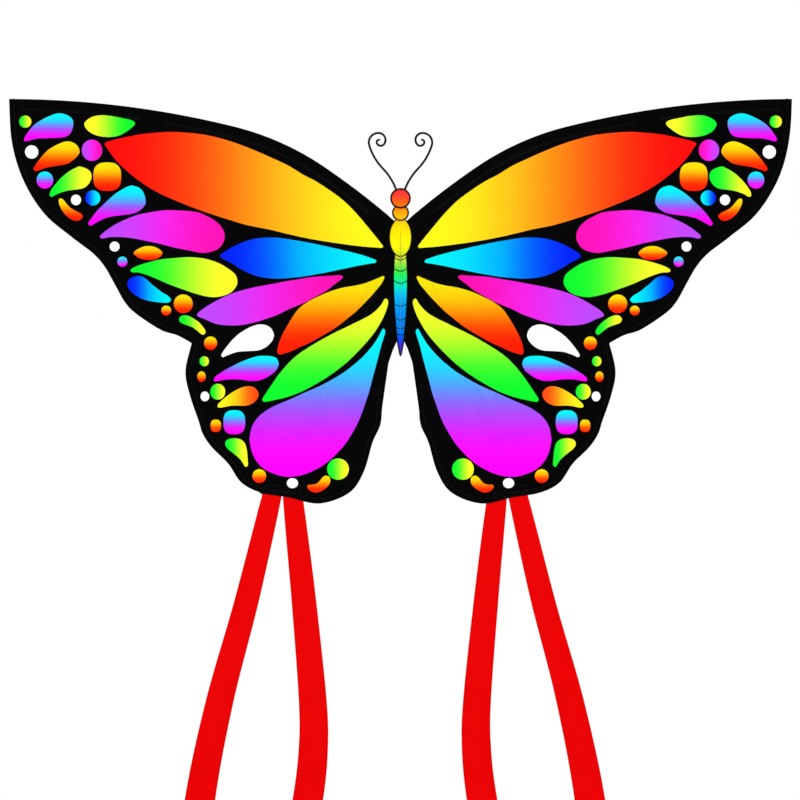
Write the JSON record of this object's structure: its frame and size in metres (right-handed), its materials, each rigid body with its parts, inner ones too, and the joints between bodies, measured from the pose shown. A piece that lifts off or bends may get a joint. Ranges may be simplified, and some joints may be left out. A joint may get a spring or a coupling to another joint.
{
  "type": "butterfly delta kite",
  "caption": "Butterfly-shaped delta kite with folding printed wings, curved edge rods, swinging half spreaders, keel with tow eyelet, antennae and red ribbon tails.",
  "frame": {"origin": "centre of the tow eyelet's hole, on the keel's plane", "axes": "+Z towards the head, +X along the right wing as seen from the printed side and along the eyelet's hole, +Y from the keel through the sail to the rods behind it"},
  "size_m": [1.4, 0.1416, 1.7128],
  "materials": {
    "printed_sailcloth": "printed ripstop polyester, rainbow patches on black",
    "black_sleeve_cloth": "black polyester sleeve",
    "printed_body_cloth": "printed polyester over thin wadding",
    "keel_cloth": "printed ripstop polyester",
    "binding_tape": "black woven tape",
    "eyelet_brass": "polished",
    "pin_steel": "satin",
    "fibreglass_rod": "pultruded fibreglass, black",
    "antenna_plastic": "flexible black plastic",
    "tail_ribbon": "red polyester ribbon",
    "black_vinyl": "moulded vinyl"
  },
  "bodies": {
    "centre": {"centre_panel": "printed_sailcloth", "spine_rod": "fibreglass_rod", "spine_sleeve": "black_sleeve_cloth", "spine_tail_cap": "black_vinyl", "nose_patch": "printed_sailcloth", "antenna_holder": "black_vinyl", "centre_hub": "black_vinyl", "hub_pins": "pin_steel", "head": "printed_body_cloth", "neck": "printed_body_cloth", "thorax": "printed_body_cloth", "abdomen": "printed_body_cloth", "left_antenna": "antenna_plastic", "right_antenna": "antenna_plastic"},
    "keel": {"keel_panel": "keel_cloth", "keel_binding": "binding_tape", "tow_patch": "binding_tape", "tow_eyelet": "eyelet_brass"},
    "left_wing": {"left_sail": "printed_sailcloth", "left_edge_rod": "fibreglass_rod", "left_edge_sleeve": "black_sleeve_cloth", "left_edge_root_cap": "black_vinyl", "left_edge_tip_cap": "black_vinyl", "left_tip_patch": "printed_sailcloth", "left_spreader_clip": "black_vinyl", "left_strut_rod": "fibreglass_rod", "left_strut_sleeve": "black_sleeve_cloth", "left_strut_caps": "black_vinyl", "left_tail_patch": "printed_sailcloth", "left_ribbon_ends": "tail_ribbon"},
    "left_half_spreader": {"left_spreader_socket": "black_vinyl", "left_spreader_rod": "fibreglass_rod", "left_spreader_cap": "black_vinyl"},
    "left_outer_tail": {"left_outer_ribbon": "tail_ribbon"},
    "left_inner_tail": {"left_inner_ribbon": "tail_ribbon"},
    "right_wing": {"right_sail": "printed_sailcloth", "right_edge_rod": "fibreglass_rod", "right_edge_sleeve": "black_sleeve_cloth", "right_edge_root_cap": "black_vinyl", "right_edge_tip_cap": "black_vinyl", "right_tip_patch": "printed_sailcloth", "right_spreader_clip": "black_vinyl", "right_strut_rod": "fibreglass_rod", "right_strut_sleeve": "black_sleeve_cloth", "right_strut_caps": "black_vinyl", "right_tail_patch": "printed_sailcloth", "right_ribbon_ends": "tail_ribbon"},
    "right_half_spreader": {"right_spreader_socket": "black_vinyl", "right_spreader_rod": "fibreglass_rod", "right_spreader_cap": "black_vinyl"},
    "right_outer_tail": {"right_outer_ribbon": "tail_ribbon"},
    "right_inner_tail": {"right_inner_ribbon": "tail_ribbon"}
  },
  "joints": [
    {"name": "keel_swing", "type": "hinge", "parent": "centre", "child": "keel", "pos_m": [0, 0.105, 0], "axis": [0, 0, 1], "range_deg": [-12, 12]},
    {"name": "left_wing_fold", "type": "hinge", "parent": "centre", "child": "left_wing", "pos_m": [-0.021, 0.1142, 0], "axis": [0, 0, 1], "range_deg": [0, 85]},
    {"name": "right_wing_fold", "type": "hinge", "parent": "centre", "child": "right_wing", "pos_m": [0.021, 0.1142, 0], "axis": [0, 0, -1], "range_deg": [0, 85]},
    {"name": "left_spreader_swing", "type": "hinge", "parent": "centre", "child": "left_half_spreader", "pos_m": [-0.014, 0.1244, 0.005], "axis": [0, -1, 0], "range_deg": [0, 115]},
    {"name": "right_spreader_swing", "type": "hinge", "parent": "centre", "child": "right_half_spreader", "pos_m": [0.014, 0.1244, 0.005], "axis": [0, 1, 0], "range_deg": [0, 115]},
    {"name": "left_outer_tail_swing", "type": "hinge", "parent": "left_wing", "child": "left_outer_tail", "pos_m": [-0.2303, 0.1151, -0.418], "axis": [1, 0, 0], "range_deg": [0, 80]},
    {"name": "left_inner_tail_swing", "type": "hinge", "parent": "left_wing", "child": "left_inner_tail", "pos_m": [-0.1927, 0.1151, -0.418], "axis": [1, 0, 0], "range_deg": [0, 80]},
    {"name": "right_outer_tail_swing", "type": "hinge", "parent": "right_wing", "child": "right_outer_tail", "pos_m": [0.2103, 0.1151, -0.418], "axis": [1, 0, 0], "range_deg": [0, 80]},
    {"name": "right_inner_tail_swing", "type": "hinge", "parent": "right_wing", "child": "right_inner_tail", "pos_m": [0.1727, 0.1151, -0.418], "axis": [1, 0, 0], "range_deg": [0, 80]}
  ]
}
